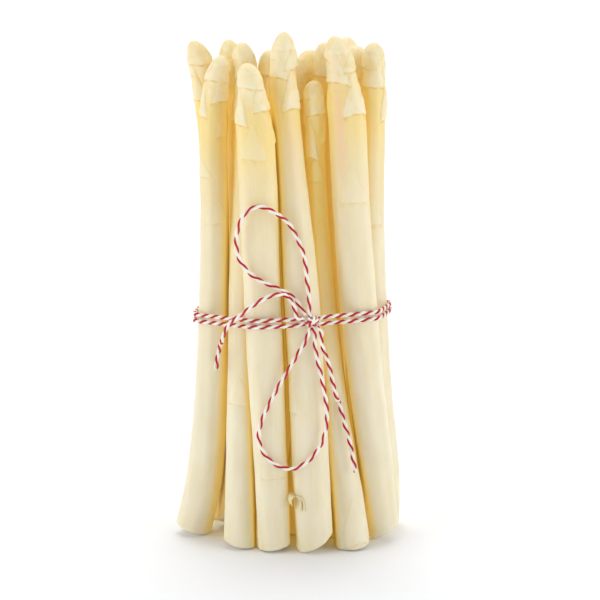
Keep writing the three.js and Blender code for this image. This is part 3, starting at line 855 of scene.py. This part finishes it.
def scale_cover(index, angle, z, scale):
    """One scale as a height over the skin, with its thin margins, the painted shadow under its foot,
    and how pale it makes the skin.
    """
    base, long, facing, half_width, relief = scale
    radius = spear_radius(index, z)
    share = (z - base) / long
    skew = 0.22 * math.sin(13 * facing) * np.clip(share, 0, 1) ** 2
    turned = (angle - facing - skew + math.pi) % (2 * math.pi) - math.pi
    turned = turned * (1 + 0.07 * np.sin(8 * share + 7 * facing + 2 * np.sign(turned)))
    along = turned * radius
    ragged = 0.3 * np.sin(0.45 * along + 5 * facing) + 0.08 * np.sin(1.7 * along + 9 * facing)
    share = share - ragged * np.clip(1 - 3 * share, 0, 1) / long

    def width(share):
        return half_width * (1 - np.clip(share, 0, 1) ** 1.7) ** 0.85 + 1e-6

    across = np.abs(turned) / width(share)
    share = share + 0.06 * np.clip(across, 0, 1) ** 2
    span = width(share)
    across = np.abs(turned) / span
    side = (1 - across) * span * radius
    foot = share * long
    tip = (1 - share) * long * 0.35
    cover = smoothstep(-0.1, 0.3, side) * smoothstep(-0.3, 0.6, foot) * smoothstep(-0.05, 0.3, tip)
    belly = np.clip(1 - across ** 2, 0, 1) ** 0.6 * np.clip(1 - share, 0, 1) ** 0.7
    height = cover * (SCALE_EDGE + (relief.lift - SCALE_EDGE) * belly)
    inside = (share > -0.1) & (share < 1.02)
    line = np.exp(-((side - 0.1) / 0.28) ** 2) * inside * MARGIN_LINE
    # Painted shadow just below the scale's foot.
    shade = np.exp(-((foot + 0.25) / 0.4) ** 2) * (across < 1.05)
    patchy = 0.65 + 0.35 * np.sin(1.3 * along + 0.9 * foot + 3 * facing)
    pale = cover * relief.pale * (1 - 0.55 * smoothstep(0.1, 0.8, share))
    return height, np.maximum(line, shade * relief.edge) * patchy, pale


def dressed(index, angle, z):
    """Height over the plain skin, the scales' margins with painted shadow under their feet, and
    paleness at every point of a spear.
    """
    height, margin, pale = np.zeros(z.shape), np.zeros(z.shape), np.zeros(z.shape)
    for scale in scales_of(index):
        over, line, paleness = scale_cover(index, angle, z, scale)
        redrawn = np.maximum(margin * (1 - paleness), line)
        margin = np.where((over > height) | (over < 0.01), redrawn, margin)
        height = np.maximum(height, over)
        pale = np.maximum(pale, paleness)
    return height, margin, pale


def skin_texture(index, angle, z):
    """Coordinates that follow the bent stem, so that fibres run along it."""
    radius = spear_radius(index, z)
    return np.stack([
        radius * np.cos(angle) + TEXTURE_ASIDE * index, radius * np.sin(angle), z + TEXTURE_UP * index
    ], axis=-1).reshape(-1, 3)


def ring_heights(index):
    """Heights of a skin's rings: closest on the head and where a bract lies."""
    length = SPEARS[index].length
    places = [(base - 1.5, base + long + 1) for base, long, *_ in scales_of(index)]
    heights = list(RIM_HEIGHTS)
    while heights[-1] < length - POINT:
        z = heights[-1]
        on_head = z > length - SCALY_HEAD
        on_bract = any(low < z + PLAIN_STEP / 2 and z < high for low, high in places)
        heights.append(z + (HEAD_STEP if on_head else SCALY_STEP if on_bract else PLAIN_STEP))
    left = length - heights[-1]
    heights += [length - left * (1 - step / POINT_RINGS) ** 2 for step in range(1, POINT_RINGS)]
    return np.array(heights + [length - 0.01])


def add_body(skin, index):
    spear = SPEARS[index]
    rise, facing = spear.cut
    angle = 2 * math.pi * np.arange(SKIN_SIDES) / SKIN_SIDES
    z, a = np.meshgrid(ring_heights(index), angle, indexing="ij")
    height, margin, pale = dressed(index, a, z)
    fade = smoothstep(0, 8, spear.length - z)
    rounded = RIM_ROUNDING * (1 - np.clip(z / RIM_HEIGHTS[-1], 0, 1)) ** 2
    radius = spear_radius(index, z) + height + fade * (ribs(index, a, z) - 0.1) - rounded
    radius = np.maximum(radius, 0.02)
    ragged = RIM_RAGGED * np.sin(7 * a + index) * np.sin(3 * a + 2.3 * index)
    ragged *= np.clip(1 - z / 2, 0, 1)
    slant = rise * (1 + np.cos(a - math.radians(facing))) / 2 * np.clip(1 - z / SLANT_REACH, 0, 1)
    lifted = z + slant + np.maximum(ragged, 0)
    axis = axis_at(index, lifted)
    points = np.stack([
        axis[..., 0] + radius * np.cos(a), axis[..., 1] + radius * np.sin(a), lifted
    ], axis=-1).reshape(-1, 3)
    rings = len(z)
    faces = grid_faces(rings, SKIN_SIDES, wrap=True)
    faces.append(tuple(range((rings - 1) * SKIN_SIDES, rings * SKIN_SIDES)))
    below = spear.length - z
    pale = np.maximum(pale, 0.7 * smoothstep(22, 10, below))
    warm = 0.06 + YELLOW.get(index + 1, 0.1) * smoothstep(50, 140, z)
    warm += 0.42 * smoothstep(85, 28, below) + 0.22 * smoothstep(50, 32, below)
    warm *= 1 - 0.6 * pale
    way, middle, depth = PINK.get(index + 1, (0, 0, 0))
    off = (a - math.radians(way) + math.pi) % (2 * math.pi) - math.pi
    pink = depth * np.exp(-(off / 0.3) ** 2 - ((z - middle) / 20) ** 2)
    # Painted shade in the gaps between stems, weaker on the heads.
    crevice = crevice_of(index, points) * (1 - 0.6 * smoothstep(28, 8, below)).ravel()
    skin.add(
        points, faces, SKIN_SLOT, skin=skin_texture(index, a, z), crevice=crevice,
        scaly=pale.ravel(), margin=margin.ravel(), pink=pink.ravel(), warm=warm.ravel(),
    )
    add_cut(skin, index, points[:SKIN_SIDES])


def add_cut(skin, index, rim):
    """The cut end: rings from the rim inwards, slightly hollowed where the flesh has dried."""
    middle = rim.mean(axis=0)
    points, margin = [], []
    for share in CUT_RINGS:
        ring = middle + (rim - middle) * share
        ring[:, 2] += CUT_HOLLOW * float(smoothstep(1.0, 0.7, share))
        points.append(ring)
        margin.append(np.full(len(ring), float(smoothstep(0.82, 1.0, share))))
    rings = len(CUT_RINGS)
    faces = grid_faces(rings, SKIN_SIDES, wrap=True)
    faces.append(tuple(range((rings - 1) * SKIN_SIDES, rings * SKIN_SIDES)))
    points = np.vstack(points)
    zero = np.zeros(len(points))
    skin.add(
        points, faces, CUT_SLOT, skin=points + np.array([TEXTURE_ASIDE * index, 0, 0]),
        crevice=zero, scaly=zero, margin=np.concatenate(margin), pink=zero, warm=zero,
    )


def add_peel(skin, index, z, facing, towards, long, width, curl):
    """A thin strip of skin that has come loose: it leaves the stem and curls over outwards."""
    steps = np.linspace(0, 1, PEEL_ROWS)
    facing, towards = math.radians(facing), math.radians(towards)
    radius = float(spear_radius(index, z))
    out = np.array([math.cos(towards), math.sin(towards), 0])
    beside = np.array([-math.sin(towards), math.cos(towards), 0])
    start = np.append(axis_at(index, z), z)
    start += np.array([math.cos(facing), math.sin(facing), 0]) * (radius - 0.15)
    bend = np.radians(curl) * smoothstep(0.3, 1, steps)
    way = np.cos(bend)[:, None] * np.array([0, 0, 1]) + np.sin(bend)[:, None] * out
    normal = np.cos(bend)[:, None] * out - np.sin(bend)[:, None] * np.array([0, 0, 1])
    line = start + np.cumsum(way, axis=0) * long / PEEL_ROWS
    across = np.linspace(-1, 1, PEEL_COLUMNS)
    half = width / 2 * (1 - 0.5 * steps ** 3)
    spread = half[:, None] * across[None, :]
    cup = 0.25 * half[:, None] * (1 - across[None, :] ** 2)
    top = line[:, None] + spread[..., None] * beside + cup[..., None] * normal[:, None]
    under = top - PEEL_THICKNESS * normal[:, None]
    sheet = PEEL_ROWS * PEEL_COLUMNS
    faces = grid_faces(PEEL_ROWS, PEEL_COLUMNS)
    faces += grid_faces(PEEL_ROWS, PEEL_COLUMNS, flip=True, start=sheet)
    number = np.arange(sheet).reshape(PEEL_ROWS, PEEL_COLUMNS)
    border = [*number[0], *number[1:, -1], *number[-1, -2::-1], *number[-2:0:-1, 0]]
    faces += [(b, a, a + sheet, b + sheet) for a, b in zip(border, border[1:] + border[:1])]
    points = np.concatenate([top.reshape(-1, 3), under.reshape(-1, 3)])
    zero = np.zeros(len(points))
    # The strip gets a little painted gap shade and painted light, and a warmer tone.
    skin.add(
        points, faces, SKIN_SLOT, skin=points, crevice=zero + 0.2, scaly=zero, margin=zero,
        pink=zero, warm=zero + 0.3,
    )


def dress_spear(index):
    node = f"spear_{index + 1:02d}"
    skin = Skin()
    add_body(skin, index)
    for peel in PEELS.get(index + 1, ()):
        add_peel(skin, index, *peel)
    piece = skin.build("asparagus_" + node, [SKIN_MATERIAL, CUT_MATERIAL])
    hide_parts(node)
    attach(piece, "root")


for spear_index in range(len(SPEARS)):
    dress_spear(spear_index)


# Floor and light

def floor():
    n = Nodes("paper_floor")
    n.shader.inputs["Base Color"].default_value = (0.96, 0.975, 1, 1)
    n.shader.inputs["Roughness"].default_value = 1
    n.shader.inputs["Specular IOR Level"].default_value = 0
    mesh = bpy.data.meshes.new("floor")
    corners = [(x * FLOOR_REACH, y * FLOOR_REACH, 0) for x, y in ((-1, -1), (1, -1), (1, 1), (-1, 1))]
    mesh.from_pydata(corners, [], [(0, 1, 2, 3)])
    mesh.materials.append(n.material)
    plane = bpy.data.objects.new("floor", mesh)
    plane.location.z = -FLOOR_DROP
    bpy.context.collection.objects.link(plane)


def soft_sun(name, azimuth, elevation, strength, width):
    """Even light from one side over the whole floor, from a wide patch of sky."""
    data = bpy.data.lights.new(name, "SUN")
    data.energy = strength
    data.angle = math.radians(width)
    light = bpy.data.objects.new(name, data)
    turn, lift = math.radians(azimuth), math.radians(elevation)
    way = Vector((math.cos(turn) * math.cos(lift), math.sin(turn) * math.cos(lift), math.sin(lift)))
    light.location = way * 2
    light.rotation_euler = way.to_track_quat("Z", "Y").to_euler()
    bpy.context.collection.objects.link(light)


def lights():
    for sun in SUNS:
        soft_sun(*sun)
    world = bpy.data.worlds.new("studio")
    world.use_nodes = True
    world.node_tree.nodes["Background"].inputs["Color"].default_value = (1, 1, 1, 1)
    world.node_tree.nodes["Background"].inputs["Strength"].default_value = SKY_STRENGTH
    bpy.context.scene.world = world
    bpy.context.scene.view_settings.view_transform = "Standard"


floor()
lights()
